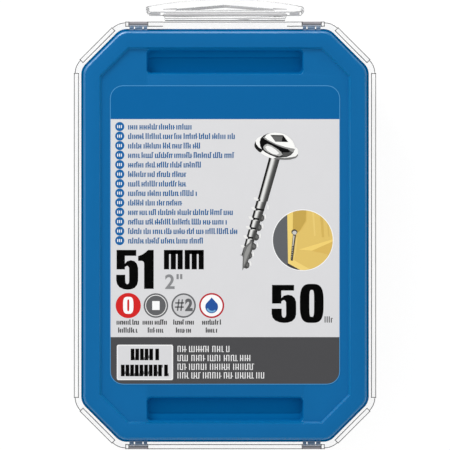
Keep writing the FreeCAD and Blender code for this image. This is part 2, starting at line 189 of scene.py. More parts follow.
def surface(name, colour, roughness, grain, bump, spread, **sockets):
    """A material with mottled colour, uneven roughness and a fine grain. Grain is in millimetres."""
    mat = bpy.data.materials.new(name)
    mat.use_nodes = True
    nodes, links = mat.node_tree.nodes, mat.node_tree.links
    shader = nodes["Principled BSDF"]
    for socket, value in sockets.items():
        shader.inputs[socket.replace("_", " ")].default_value = value
    place = nodes.new("ShaderNodeTexCoord").outputs["Object"]

    def texture(size, detail):
        node = node_with(nodes, "ShaderNodeTexNoise", Scale=1 / (size * MM), Detail=detail)
        links.new(place, node.inputs["Vector"])
        return node.outputs["Fac"]

    wide = texture(grain * 14, 3)
    fine = texture(grain, 2)
    mix = nodes.new("ShaderNodeMix")
    mix.data_type = "RGBA"
    mix.inputs["A"].default_value = [c * (1 - spread) for c in colour[:3]] + [1]
    mix.inputs["B"].default_value = [min(1, c * (1 + spread)) for c in colour[:3]] + [1]
    links.new(wide, mix.inputs["Factor"])
    links.new(mix.outputs["Result"], shader.inputs["Base Color"])
    rough = node_with(nodes, "ShaderNodeMapRange", To_Min=roughness[0], To_Max=roughness[1])
    links.new(texture(grain * 5, 4), rough.inputs["Value"])
    links.new(rough.outputs["Result"], shader.inputs["Roughness"])
    relief = node_with(nodes, "ShaderNodeBump", Strength=bump, Distance=grain * MM * 0.2)
    links.new(fine, relief.inputs["Height"])
    links.new(relief.outputs["Normal"], shader.inputs["Normal"])
    return mat


def ink(name, colour):
    return surface(name, colour, (0.4, 0.5), 0.5, 0.05, spread=0.015, Specular_IOR_Level=0.1)


def painted(name):
    """Print whose colour comes from the mesh's own colour attribute."""
    mat = ink(name, (1, 1, 1, 1))
    nodes, links = mat.node_tree.nodes, mat.node_tree.links
    attribute = nodes.new("ShaderNodeVertexColor")
    attribute.layer_name = "print"
    links.new(attribute.outputs["Color"], nodes["Principled BSDF"].inputs["Base Color"])
    return mat


def clear(name, ior):
    return surface(name, (0.995, 0.998, 1.0, 1), (0.015, 0.05), 2.5, 0.02, spread=0.003,
                   IOR=ior, Transmission_Weight=1.0, Specular_IOR_Level=0.2)


def painted_light(name, colour, spread, roughness=(0.35, 0.5), grain=0.8, bump=0.1):
    """Clear plastic with painted light: a grey for painted shade and a white for painted highlight, where
    light bending through the plastic makes it show so.
    """
    return surface("clear_plastic_" + name, colour, roughness, grain, bump, spread, Specular_IOR_Level=0.2)


def blue(name, colour, roughness, bump, gloss):
    return surface(name, colour, roughness, 0.35, bump, spread=0.03, Specular_IOR_Level=gloss)


CLEAR = clear("clear_plastic", 1.45)
CLEAR_THIN = clear("clear_plastic_thin", 1.2)
# Grey and pale clear-plastic tones are painted shade and painted highlight, standing for how light bends
# through the plastic at edges, clip bars and the hang tab.
CLEAR_PAINTED_EDGE = painted_light("edge", tone(128, 127, 128), 0.05, (0.3, 0.45), 1.0, 0.05)
# The grey, partly clear outer band of a clip bar: painted shade.
CLEAR_PAINTED_BAR = surface("clear_plastic_painted_bar_shade", tone(168, 165, 169), (0.35, 0.5), 0.8, 0.15, spread=0.1,
                  IOR=1.3, Transmission_Weight=0.3, Specular_IOR_Level=0.2)
CLEAR_PAINTED_END = painted_light("end", tone(205, 205, 206), 0.12)
CLEAR_PAINTED_PALE = painted_light("painted_light", tone(250, 250, 251), 0.02)
CLEAR_PAINTED_GREY = painted_light("painted_grey", tone(228, 228, 229), 0.05)
CLEAR_PAINTED_DARK = painted_light("painted_dark", tone(165, 165, 166), 0.05)
CLEAR_PAINTED_PALE_EDGE = painted_light("painted_pale_edge", tone(205, 205, 206), 0.03, (0.3, 0.45), 1.0, 0.05)
BLUE = blue("blue_plastic", tone(0, 103, 164), (0.4, 0.5), 0.08, 0.14)
# Lit and shaded copies of the lid's blue: pockets lighter (painted light), edges lighter (painted highlight),
# walls darker (painted shade), clips pale (painted highlight)
BLUE_POCKET_LIGHT = blue("blue_plastic_pocket_painted_light", tone(6, 106, 168), (0.6, 0.75), 0.15, 0.0)
BLUE_EDGE_HIGHLIGHT = blue("blue_plastic_edge_painted_highlight", tone(0, 114, 174), (0.26, 0.34), 0.08, 1.0)
BLUE_SIDE_SHADE = blue("blue_plastic_matt_painted_shade", tone(0, 92, 150), (0.6, 0.75), 0.15, 0.0)
BLUE_CLIP_HIGHLIGHT = blue("blue_plastic_clip_painted_highlight", tone(108, 133, 158), (0.3, 0.4), 0.08, 0.6)
STEEL = surface("zinc_steel", (0.63, 0.63, 0.61, 1), (0.16, 0.34), 0.7, 0.1, spread=0.1, Metallic=1.0)
INK_TONES = {
    "label_header": (0, 99, 161),
    "label_field": (221, 221, 223),
    "label_band": (77, 77, 79),
    # A pale blue line round the label: a painted highlight along its edge
    "label_hairline": (74, 148, 202),
    "print_disc_blue": (20, 100, 165),
    "print_text_blue": (0, 92, 150),
    "print_black": (0, 0, 0),
    "print_soft_black": (38, 38, 40),
    "print_grey": (140, 141, 143),
    "print_light_grey": (219, 219, 221),
    "print_white": (253, 253, 253),
    "print_glow": (240, 240, 240),
    "print_mid_grey": (100, 101, 103),
    "print_pale_grey": (207, 207, 209),
    "print_drop_shine": (120, 175, 215),
    "print_red": (214, 37, 37),
    "print_dark_red": (190, 30, 45),
    "print_drop": (40, 85, 160),
}
INKS = {name.split("_", 1)[1]: ink(name, tone(*colour)) for name, colour in INK_TONES.items()}


# Pieces

def add_piece(name, mesh, materials, body, slot, *nodes):
    piece = bpy.data.objects.new(name, mesh)
    bpy.context.scene.collection.objects.link(piece)
    for mat in materials:
        mesh.materials.append(mat)
    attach(piece, body)
    if nodes:
        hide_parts(*nodes)
    return piece


def mesh_of(shape, name):
    mesh = bpy.data.meshes.new(name)
    shape.to_mesh(mesh)
    shape.free()
    return mesh


def whole_faces(node):
    """A node's own shape with its flat faces made whole."""
    shape = bmesh.new()
    shape.from_mesh(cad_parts[node].data)
    bmesh.ops.remove_doubles(shape, verts=shape.verts, dist=WELD)
    bmesh.ops.dissolve_limit(shape, angle_limit=math.radians(0.6), verts=shape.verts, edges=shape.edges)
    shape.normal_update()
    return shape


def softened(node, materials, width, slot, material_at):
    """A node's own shape, with its sharp edges rounded off. A rule chooses the material of each face."""
    shape = whole_faces(node)
    for face in shape.faces:
        face.smooth = True
        face.material_index = materials.index(material_at(face))
    name = node + "_dressed"
    piece = add_piece(name, mesh_of(shape, name), materials, node, slot, node)
    bevel = piece.modifiers.new("edges", "BEVEL")
    bevel.width = width * MM
    bevel.segments = 2
    bevel.limit_method = "ANGLE"
    bevel.angle_limit = SHARP
    bevel.harden_normals = True


def held_in(point, low, high):
    return Vector([min(max(c, a), b) for c, a, b in zip(point, low, high)])


def edge_middle(edge):
    return (edge.verts[0].co + edge.verts[1].co) / 2


def edge_lines(name, node, width, material, chosen, on_face=None):
    """Thin strips of painted shade just under a clear part's surface, along both sides of its chosen sharp
    edges, where light bending through the edge darkens it.
    """
    shape = whole_faces(node)
    low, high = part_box(node)
    strips = bmesh.new()
    for edge in shape.edges:
        if len(edge.link_faces) != 2 or edge.calc_face_angle(0) < SHARP or not chosen(edge):
            continue
        sink = -(edge.link_faces[0].normal + edge.link_faces[1].normal) * (LINE_DEPTH * MM)
        for loop in edge.link_loops:
            face = loop.face
            looks_down = face.normal.z < -0.05
            if looks_down or (on_face and not on_face(face)):
                continue
            breadth = face.calc_area() / max(side.calc_length() for side in face.edges)
            a, b = loop.vert.co + sink, loop.link_loop_next.vert.co + sink
            inward = face.normal.cross(b - a).normalized() * min(width * MM, breadth * LINE_SHARE)
            corners = [held_in(corner, low, high) for corner in (a, b, b + inward, a + inward)]
            strips.faces.new([strips.verts.new(corner) for corner in corners])
    shape.free()
    add_piece(name, mesh_of(strips, name), [material], node, "clear_plastic")


# Tray and lid

def inset_at(x, y):
    """How far inside the tray's outer octagon a point is, in millimetres."""
    x, y = abs(x), abs(y - MIDDLE_Y)
    from_corner = (HALF_WIDTH + HALF_LENGTH - CORNER_CUT - x - y) / math.sqrt(2)
    return min(HALF_WIDTH - x, HALF_LENGTH - y, from_corner)


def tray_face(face):
    """The small round bars of the tray's clips get bands of painted shade and painted highlight: grey, a dark
    line, pale, then grey. The rest of the tray is clear.
    """
    middle = face.calc_center_median() / MM
    inside = abs(abs(middle.x) - CLIP_ACROSS) < CLIP_HALF and middle.z > CLIP_LOW
    if not inside or face.normal.x ** 2 >= 0.5:
        return CLEAR
    band = sum(inset_at(middle.x, middle.y) > limit for limit in BAR_PAINTED_BANDS)
    return (CLEAR_PAINTED_BAR, CLEAR_PAINTED_EDGE, CLEAR_PAINTED_PALE, CLEAR_PAINTED_DARK)[band]


def lid_face(face):
    """The lid's rounded edges are glossy and painted a lighter blue, a painted highlight, and its flat faces
    are less glossy.
    Its outer walls are matt and painted darker, a painted shade; its pockets are matt and painted a little
    lighter, painted light in their shade; its clip fingers are painted a pale grey-blue, a painted highlight."""
    middle = face.calc_center_median() / MM
    inset = inset_at(middle.x, middle.y)
    if inset < CLIP_INSET:
        return BLUE_CLIP_HIGHLIGHT
    if middle.z < POCKET_TOP and inset > WALL_INSET:
        return BLUE_POCKET_LIGHT
    if abs(face.normal.z) < STEEP and inset < WALL_INSET:
        return BLUE_SIDE_SHADE
    return BLUE_EDGE_HIGHLIGHT if STEEP <= face.normal.z < FLAT else BLUE


def rim_edge(edge):
    """The edges at the curb's top, at its ends and round the rim, but not its ends under the tab."""
    middle = edge_middle(edge) / MM
    crosswise = abs(edge.verts[0].co.x - edge.verts[1].co.x) < 0.5 * MM
    if crosswise and abs(abs(middle.x) - NECK_HALF) < 1.5:
        return False
    on_curb = max(vert.co.z for vert in edge.verts) / MM > CURB_TOP - 0.05
    return on_curb or inset_at(middle.x, middle.y) < RIM_INSET


# Hang tab

def tab_face(face):
    """The ends of the tab's bar are painted grey, a painted shade. The rest of it is clear."""
    at_end = abs(face.calc_center_median().x) / MM > NECK_HALF + 4.5
    return CLEAR_PAINTED_END if at_end and abs(face.normal.x) > 0.5 else CLEAR_THIN


def down_from_root(point):
    return (point - TAB_ROOT).dot(TAB_DOWN) / MM


def bar_start_edge(edge):
    return abs(down_from_root(edge_middle(edge)) - BAR_START) < 0.3


def tab_outline_edge(edge):
    """The edges at the tab's ends and round its arch."""
    middle = edge_middle(edge)
    return abs(middle.x) / MM > NECK_HALF - 0.8 or down_from_root(middle) > ARCH_START


def tab_wall(face):
    return abs(face.normal.dot(TAB_THROUGH)) < 0.8


def in_tab(x, down, through):
    return TAB_ROOT + Vector((x, 0, 0)) * MM + TAB_DOWN * down * MM + TAB_THROUGH * through * MM


def tab_sheets(name, material, sheets):
    """Thin sheets of painted shade just over the tab's faces, each by its corners: across, down and through.
    """
    shape = bmesh.new()
    for corners in sheets:
        shape.faces.new([shape.verts.new(in_tab(*corner)) for corner in corners])
    add_piece(name, mesh_of(shape, name), [material], "hang_tab", "clear_plastic")


def start_sheet(x0, x1, back, lift=SKIN):
    """A sheet of painted shade over the side of the bar that faces the root."""
    down = BAR_START - lift
    return [(x0, down, back), (x1, down, back), (x1, down, BAR_FRONT), (x0, down, BAR_FRONT)]


def slot_sheets():
    """Painted shade on the slot's roof on each side of its middle."""
    sheets = []
    for side in (-1, 1):
        for step in range(ROOF_STEPS):
            strip = []
            for end in (step, step + 1):
                x = SLOT_END * end / ROOF_STEPS
                down = SLOT_TOP - (SLOT_TOP - SLOT_SILL) * x / SLOT_HALF - 0.05
                back = BAR_FRONT - min(ROOF_DEPTH, ROOF_SLOPE * (down - SLOT_SILL) + 0.1)
                strip.append([(side * x, down, BAR_FRONT - 0.04), (side * x, down, back)])
            sheets.append([strip[0][0], strip[1][0], strip[1][1], strip[0][1]])
    return sheets


def front_sheets():
    """The painted shade along the top of the neck, and the one that carries the slot on past its narrow ends.
    """
    foot = BAR_START - SKIN
    neck = ((-PAINT_SHEET_HALF, PAINT_SHEET_START), (PAINT_SHEET_HALF, PAINT_SHEET_START), (PAINT_SHEET_HALF, foot), (-PAINT_SHEET_HALF, foot))
    sheets = [[(x, down, NECK_FRONT + SKIN) for x, down in neck]]
    slot_tip = ((SLOT_END, 6.5), (SLOT_HALF, 6.5), (SLOT_HALF, 7.2), (SLOT_END, 8.1))
    for side in (-1, 1):
        sheets.append([(side * x, down, BAR_FRONT + 0.02) for x, down in slot_tip])
    return sheets


def root_lines():
    """The tab's round root gets two thin grey lines of painted shade, one along each of its sides."""
    shape = bmesh.new()
    radius = TAB_ROOT_RADIUS * 1.06 * MM
    for turns in ROOT_LINE_TURNS:
        ends = []
        for turn, sides in zip(turns, ((-1, 1), (1, -1))):
            y = TAB_ROOT.y + radius * math.sin(math.radians(turn))
            z = TAB_ROOT.z + radius * math.cos(math.radians(turn))
            ends += [shape.verts.new((side * NECK_HALF * MM, y, z)) for side in sides]
        shape.faces.new(ends)
    name = "hang_tab_root_lines"
    add_piece(name, mesh_of(shape, name), [CLEAR_PAINTED_DARK], "hang_tab", "clear_plastic")


softened("tray", [CLEAR, CLEAR_PAINTED_BAR, CLEAR_PAINTED_EDGE, CLEAR_PAINTED_PALE, CLEAR_PAINTED_DARK], 0.16, "clear_plastic", tray_face)
softened("hang_tab", [CLEAR_THIN, CLEAR_PAINTED_END], 0.14, "clear_plastic", tab_face)
softened("lid", [BLUE, BLUE_SIDE_SHADE, BLUE_EDGE_HIGHLIGHT, BLUE_POCKET_LIGHT, BLUE_CLIP_HIGHLIGHT], 0.18, "blue_plastic", lid_face)
root_lines()
# Sheets of painted shade on the tab's ears, its slot's roof, its bar and its neck
EARS = [start_sheet(-EAR_OUTER, -EAR_INNER, BAR_BACK), start_sheet(EAR_INNER, EAR_OUTER, BAR_BACK)]
FRONT_LINE = start_sheet(-PAINT_SHEET_HALF, PAINT_SHEET_HALF, 0.98, 2 * SKIN)
tab_sheets("hang_tab_bar_painted_pale", CLEAR_PAINTED_PALE, [start_sheet(-PAINT_SHEET_HALF, PAINT_SHEET_HALF, NECK_FRONT)])
tab_sheets("hang_tab_painted_grey", CLEAR_PAINTED_GREY, EARS + slot_sheets() + [FRONT_LINE])
tab_sheets("hang_tab_painted_dark", CLEAR_PAINTED_DARK, front_sheets())
# Grey lines of painted shade along the clear parts' edges
edge_lines("tray_edge_lines", "tray", 0.24, CLEAR_PAINTED_EDGE, rim_edge)
edge_lines("hang_tab_bar_lines", "hang_tab", 0.2, CLEAR_PAINTED_EDGE, bar_start_edge, tab_wall)
edge_lines("hang_tab_outline", "hang_tab", 0.16, CLEAR_PAINTED_PALE_EDGE, tab_outline_edge)


# Screws

def ridge(phase):
    """The height of the thread, 0 to 1, at a phase of one turn."""
    return max(0.0, 1 - abs(phase - 0.5) / RIDGE_HALF)


def stem_radius(z, turn):
    """The radius of the stem, threads included, at a height from the point and a share of a full turn."""
    taper = min(1.0, z / TIP_LENGTH)
    if z > THREAD_LENGTH:
        fade = min(1.0, (z - THREAD_LENGTH) / SHANK_FADE)
        return CORE_RADIUS + (SHANK_RADIUS - CORE_RADIUS) * fade
    height = ridge((z / THREAD_PITCH - turn) % 1) * min(1.0, (THREAD_LENGTH - z) / THREAD_FADE)
    return max(TIP_RADIUS, CORE_RADIUS * taper + (THREAD_RADIUS - CORE_RADIUS) * height * taper ** 0.5)


def square_radius(turn):
    angle = 2 * math.pi * turn
    return RECESS_HALF / max(abs(math.cos(angle)), abs(math.sin(angle)))


def screw_rows():
    """Rings of the screw's surface from its point to its recess's floor: a height and a rule that gives
    the radius at each turn."""
    steps = int(THREAD_LENGTH / THREAD_PITCH * ROWS_IN_TURN)
    heights = [THREAD_LENGTH * step / steps for step in range(steps + 1)] + list(SHANK_ROWS)
    rows = [(z, lambda turn, z=z: stem_radius(z, turn)) for z in heights]
    washer = SCREW_LENGTH - DOME_HEIGHT - WASHER_THICKNESS
    head = ((washer, SHANK_RADIUS + 0.25), (washer, 3.9), (washer + 0.12, HEAD_RADIUS - 0.12),
            (washer + 0.35, HEAD_RADIUS), (washer + 0.85, HEAD_RADIUS), (washer + 1.05, HEAD_RADIUS - 0.15),
            (washer + 1.15, HEAD_RADIUS - 0.75), (washer + 1.3, HEAD_RADIUS - 0.95),
            (washer + 2.0, HEAD_RADIUS - 1.2), (washer + 2.6, HEAD_RADIUS - 1.7),
            (SCREW_LENGTH - 0.08, HEAD_RADIUS - 2.25), (SCREW_LENGTH, 2.2))
    rows += [(z, lambda turn, r=r: r) for z, r in head]
    return rows + [(SCREW_LENGTH, square_radius), (SCREW_LENGTH - RECESS_DEPTH, square_radius)]


def screw_points():
    points = []
    for z, radius in screw_rows():
        for side in range(AROUND):
            turn = side / AROUND
            angle = 2 * math.pi * turn
            r = radius(turn)
            points.append(Vector((r * math.cos(angle), r * math.sin(angle), z)) * MM)
    return points


SCREW_POINTS = screw_points()
SCREW_RINGS = len(SCREW_POINTS) // AROUND


def islands(mesh):
    """The vertices of each separate solid of a mesh."""
    shape = bmesh.new()
    shape.from_mesh(mesh)
    bmesh.ops.remove_doubles(shape, verts=shape.verts, dist=WELD)
    found, seen = [], set()
    for start in shape.verts:
        if start in seen:
            continue
        seen.add(start)
        group, waiting = [], [start]
        while waiting:
            vert = waiting.pop()
            group.append(vert.co.copy())
            for edge in vert.link_edges:
                other = edge.other_vert(vert)
                if other not in seen:
                    seen.add(other)
                    waiting.append(other)
        found.append(group)
    shape.free()
    return found


def screw_places(node, draw):
    """Where each screw of a node lies: a matrix that moves the point and turns the axis of SCREW_POINTS."""
    places = []
    for group in islands(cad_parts[node].data):
        middle = sum(group, Vector()) / len(group)
        point = max(group, key=lambda co: (co - middle).length)
        axis = (middle - point).normalized()
        turned = axis.to_track_quat("Z", "Y").to_matrix().to_4x4()
        roll = Matrix.Rotation(draw.uniform(0, 2 * math.pi), 4, "Z")
        places.append(Matrix.Translation(point) @ turned @ roll)
    return places


def lay_screws(node, draw):
    """All the screws of one node as one piece."""
    shape = bmesh.new()
    for place in screw_places(node, draw):
        verts = [shape.verts.new(place @ point) for point in SCREW_POINTS]
        for ring in range(SCREW_RINGS - 1):
            low, high = ring * AROUND, (ring + 1) * AROUND
            for side in range(AROUND):
                after = (side + 1) % AROUND
                quad = (low + side, low + after, high + after, high + side)
                shape.faces.new([verts[i] for i in quad])
        shape.faces.new(verts[AROUND - 1::-1])
        shape.faces.new(verts[-AROUND:])
    bmesh.ops.recalc_face_normals(shape, faces=shape.faces)
    for face in shape.faces:
        face.smooth = True
    name = node + "_threaded"
    mesh = mesh_of(shape, name)
    mesh.set_sharp_from_angle(angle=SCREW_CREASE)
    add_piece(name, mesh, [STEEL], "tray", "zinc_steel", node)


DRAW = random.Random(51)
for screws_node in ("screws_lower_far", "screws_lower_near", "screws_upper_far", "screws_upper_near"):
    lay_screws(screws_node, DRAW)


# Label

def on_label(u, v, layer=0):
    """A point of the label: u to the right and v down from its top left corner, and a count of ink layers."""
    return Vector((LABEL_LOW.x + u * MM, LABEL_HIGH.y - v * MM, LABEL_HIGH.z + layer * INK_STEP * MM))


def arc(centre, radius, start, end, steps, squeeze=1.0):
    """Points along part of a circle or an ellipse. Angles are in degrees, clockwise on the label from its
    right."""
    points = []
    for step in range(steps + 1):
        angle = math.radians(start + (end - start) * step / steps)
        points.append((centre[0] + radius * math.cos(angle), centre[1] + radius * squeeze * math.sin(angle)))
    return points


def disc(centre, radius, squeeze=1.0, steps=40):
    return arc(centre, radius, 0, 360 - 360 / steps, steps - 1, squeeze)


def bar(u0, v0, u1, v1):
    return [(u0, v0), (u1, v0), (u1, v1), (u0, v1)]


def rounded_bar(u0, v0, u1, v1, radius):
    corners = (((u1 - radius, v0 + radius), -90), ((u1 - radius, v1 - radius), 0),
               ((u0 + radius, v1 - radius), 90), ((u0 + radius, v0 + radius), 180))
    return [point for centre, start in corners
            for point in arc(centre, radius, start, start + 90, CORNER_STEPS)]


def quads_between(outer, inner, closed=True):
    """A row of quads between two lines of as many points."""
    count = len(outer)
    return [[outer[i], outer[(i + 1) % count], inner[(i + 1) % count], inner[i]]
            for i in range(count if closed else count - 1)]


def signed_area(points):
    """Twice a polygon's area, above 0 where its points go clockwise on the label."""
    return sum(a[0] * b[1] - b[0] * a[1] for a, b in zip(points, points[1:] + points[:1]))


def flat_mesh(name, shapes):
    """One flat mesh of printed shapes. Each is (points, layer, colour or None), and faces up."""
    shape = bmesh.new()
    paint = shape.loops.layers.color.new("print")
    for points, layer, colour in shapes:
        order = points if signed_area(points) < 0 else points[::-1]
        face = shape.faces.new([shape.verts.new(on_label(u, v, layer)) for u, v in order])
        for loop in face.loops:
            loop[paint] = [c / 255 for c in colour or (255, 255, 255)] + [1]
    return mesh_of(shape, name)


def printed(name, points_list, layer, colour):
    """Printed shapes of one colour, as one piece."""
    mesh = flat_mesh(name, [(points, layer, None) for points in points_list])
    add_piece(name, mesh, [INKS[colour]], "lid", "label_film")


def label_film():
    """The film itself: header, field and band in one closed sheet with rounded corners."""
    outline = rounded_bar(0, 0, LABEL_WIDTH, LABEL_LENGTH, LABEL_CORNER)
    splits = [(LABEL_WIDTH, HEADER_END), (LABEL_WIDTH, BAND_START), (0, BAND_START), (0, HEADER_END)]
    quarter = CORNER_STEPS + 1
    right, left = outline[:2 * quarter], outline[2 * quarter:]
    ring = right[:quarter] + splits[:2] + right[quarter:] + left[:quarter] + splits[2:] + left[quarter:]
    shape = bmesh.new()
    top = [shape.verts.new(on_label(u, v)) for u, v in ring]
    low = [shape.verts.new(on_label(u, v) - Vector((0, 0, LABEL_HIGH.z - LABEL_LOW.z))) for u, v in ring]
    end = quarter + 1
    field = [top[end - 1], top[end], top[-end - 1], top[-end]]
    for index, verts in enumerate((top[:end] + top[-end:], field, top[end:-end])):
        shape.faces.new(verts).material_index = index
    for side in quads_between(top, low):
        shape.faces.new(side).material_index = 1
    shape.faces.new(low[::-1]).material_index = 1
    bmesh.ops.recalc_face_normals(shape, faces=shape.faces)
    mesh = mesh_of(shape, "label_film")
    add_piece("label_film", mesh, [INKS["header"], INKS["field"], INKS["band"]], "lid", "label_film", "label")


def frame_line(u0, v0, u1, v1, radius, width):
    """A thin line round a rounded rectangle, as a row of flat quads."""
    inner = rounded_bar(u0 + width, v0 + width, u1 - width, v1 - width, radius - width)
    return quads_between(rounded_bar(u0, v0, u1, v1, radius), inner)


# Strokes that stand for words: how many make a word, how often one is tied to the next, and the rest as shares
# of the line's height, the stroke's weight or the gap
WORD_STROKES = (4, 9)
TIE_CHANCE = 0.6
LOW_STROKE = 0.74
TIE_LEVEL = 0.42
TIE_WEIGHT = 0.8
TIE_INSET = 0.16
WORD_GAP = 1.4


def stroke_line(draw, u0, u1, base, height, weight, gap, tall=0.3):
    """Upright strokes and short dashes with word gaps, that stand where a line of text is."""
    shapes = []
    u = u0
    while u < u1 - weight:
        for _ in range(draw.randint(*WORD_STROKES)):
            if u + weight > u1:
                break
            top = base - height * (1.0 if draw.random() < tall else LOW_STROKE)
            shapes.append(bar(u, top, u + weight, base))
            if draw.random() < TIE_CHANCE and u + weight + gap < u1:
                level = draw.choice((top, base - height * TIE_LEVEL, base - weight * TIE_WEIGHT))
                inset = gap * TIE_INSET
                ends = u + weight + inset, u + weight + gap - inset
                shapes.append(bar(ends[0], level, ends[1], level + weight * TIE_WEIGHT))
            u += weight + gap
        u += gap * WORD_GAP
    return shapes


def fitted(shapes, u0, v0, u1, v1):
    """Shapes drawn in a unit square, stretched over a rectangle of the label."""
    return [[(u0 + x * (u1 - u0), v0 + y * (v1 - v0)) for x, y in points] for points in shapes]


def five():
    """A heavy five in a unit square: top bar, left block and open bowl."""
    outer = ((0.4, 0.345), (0.5, 0.285), (0.66, 0.258), (0.82, 0.28), (0.93, 0.345), (0.985, 0.45),
             (0.99, 0.62), (0.985, 0.78), (0.94, 0.88), (0.83, 0.955), (0.66, 0.993), (0.5, 1.0),
             (0.33, 0.985), (0.16, 0.94), (0.05, 0.86), (0.015, 0.76), (0.015, 0.625))
    inner = ((0.4, 0.44), (0.43, 0.42), (0.47, 0.405), (0.51, 0.4), (0.55, 0.415), (0.585, 0.45),
             (0.59, 0.6), (0.59, 0.78), (0.58, 0.82), (0.56, 0.845), (0.53, 0.858), (0.5, 0.862),
             (0.47, 0.855), (0.44, 0.84), (0.425, 0.81), (0.415, 0.76), (0.415, 0.625))
    bowl = quads_between(outer, inner, closed=False)
    return [bar(0.395, 0, 0.905, 0.148), bar(0.03, 0, 0.4, 0.49)] + bowl


def zero():
    """A heavy nought in a unit square: a tall ring with a narrow slot."""
    steps = 48

    def ring(half, top, power):
        points = []
        for i in range(steps):
            angle = 2 * math.pi * i / steps
            across, along = math.cos(angle), math.sin(angle)
            x = math.copysign(abs(across) ** power, across)
            y = math.copysign(abs(along) ** power, along)
            points.append((0.5 + half * x, 0.5 + (0.5 - top) * y))
        return points

    return quads_between(ring(0.5, 0, 0.62), ring(0.1, 0.155, 0.5))


def one():
    """A heavy one in a unit square: an upright with a curved flag on its left."""
    return [[(0.64, 0), (1, 0), (1, 0.98), (0.385, 0.98), (0.385, 0.34), (0.35, 0.295), (0.25, 0.275),
             (0, 0.275), (0, 0.155), (0.25, 0.12), (0.45, 0.068)]]


def digit(name, text, u0, v0, u1, v1, colour, weight):
    """A plain digit, fitted to a rectangle of the label."""
    curve = bpy.data.curves.new(name, "FONT")
    curve.body = text
    curve.offset = weight
    letter = bpy.data.objects.new(name + "_outline", curve)
    bpy.context.scene.collection.objects.link(letter)
    bpy.context.view_layer.update()
    mesh = bpy.data.meshes.new_from_object(letter)
    bpy.data.objects.remove(letter)
    mesh.name = name
    xs = [vert.co.x for vert in mesh.vertices]
    ys = [vert.co.y for vert in mesh.vertices]
    left, right, foot, head = min(xs), max(xs), min(ys), max(ys)
    for vert in mesh.vertices:
        u = u0 + (vert.co.x - left) / (right - left) * (u1 - u0)
        v = v1 - (vert.co.y - foot) / (head - foot) * (v1 - v0)
        vert.co = on_label(u, v, 4)
    mesh.materials.clear()
    add_piece(name, mesh, [INKS[colour]], "lid", "label_film")


def clipped(points, window):
    """The part of a polygon inside a convex window, whose points go the same way round as disc()."""
    for (ax, ay), (bx, by) in zip(window, window[1:] + window[:1]):
        def side(p):
            return (bx - ax) * (p[1] - ay) - (by - ay) * (p[0] - ax)

        kept = []
        for p, q in zip(points, points[1:] + points[:1]):
            if side(p) >= 0:
                kept.append(p)
            if side(p) * side(q) < 0:
                share = side(p) / (side(p) - side(q))
                kept.append((p[0] + (q[0] - p[0]) * share, p[1] + (q[1] - p[1]) * share))
        points = kept
        if not points:
            return []
    return points


def shade(stops, at):
    """A value between the stops (place, value)."""
    for (low, a), (high, b) in zip(stops, stops[1:]):
        if at <= high:
            share = max(0.0, (at - low) / (high - low))
            return a + (b - a) * share
    return stops[-1][1]


def grey(value):
    return value, value, value * 0.99


# The label's print. All its numbers are millimetres of the label, as in on_label.

TEXT_ENDS = (27.75, 42.4, 30.6, 42.7, 30.7, 25.9, 25.9, 29.8, 24.6, 41.6, 39.6, 43.1, 31.6)
TEXT_START = 6.14
LINE_START = 13.9
LINE_PITCH = 3.203
CAP_HEIGHT = 2.0
BULLET_AT = 3.3
BULLET_RADIUS = 1.55

# The small signs: where each one's middle is, and half the width of the two lines under it
SIGNS = ((6.17, 3.95, 3.4), (15.5, 4.5, 2.75), (24.85, 3.5, 2.6), (34.3, 3.2, 2.0))
SIGN_V = 74.25
SIGN_RADIUS = 4.13
CAPTION_LINES = (80.7, 83.4)
BAND_LINES = ((41.0, 88.9), (47.9, 91.95), (49.4, 94.9), (52.4, 97.8))


def text_block(draw):
    """The lines of text on the left, each with a round bullet."""
    discs, marks, strokes = [], [], []
    for line, end in enumerate(TEXT_ENDS):
        v = LINE_START + line * LINE_PITCH
        discs.append(disc((BULLET_AT, v), BULLET_RADIUS, steps=24))
        marks += [bar(2.46 + 0.62 * i, v - 0.5, 2.76 + 0.62 * i, v + 0.5) for i in range(3)]
        strokes += stroke_line(draw, TEXT_START, end, v + CAP_HEIGHT / 2, CAP_HEIGHT, 0.38, 0.3)
    printed("print_bullets", discs, 1, "disc_blue")
    printed("print_bullet_marks", marks, 2, "white")
    printed("print_lines", strokes, 1, "text_blue")


def captions(draw):
    """Two short rows of strokes under each small sign, and the strokes beside the numbers."""
    strokes = []
    for centre, *halves in SIGNS:
        for half, base in zip(halves, CAPTION_LINES):
            strokes += stroke_line(draw, centre - half, centre + half, base, 1.75, 0.36, 0.26)
    printed("print_captions", strokes, 1, "soft_black")
    unit = [bar(u, 55.5, u + 1.75, 62.05) for u in (18.2, 20.5, 22.8, 25.2, 27.55, 29.9)]
    unit += [bar(19.7, 55.5, 24.0, 56.9), bar(26.7, 55.5, 31.2, 56.9)]
    count = stroke_line(draw, 72.4, 75.4, 80.0, 2.1, 0.3, 0.4, tall=0.5)
    printed("print_unit", unit + count, 1, "black")
    ticks = [bar(u, 63.65, u + 0.75, 65.35) for u in (22.45, 23.65)]
    printed("print_ticks", ticks, 1, "grey")


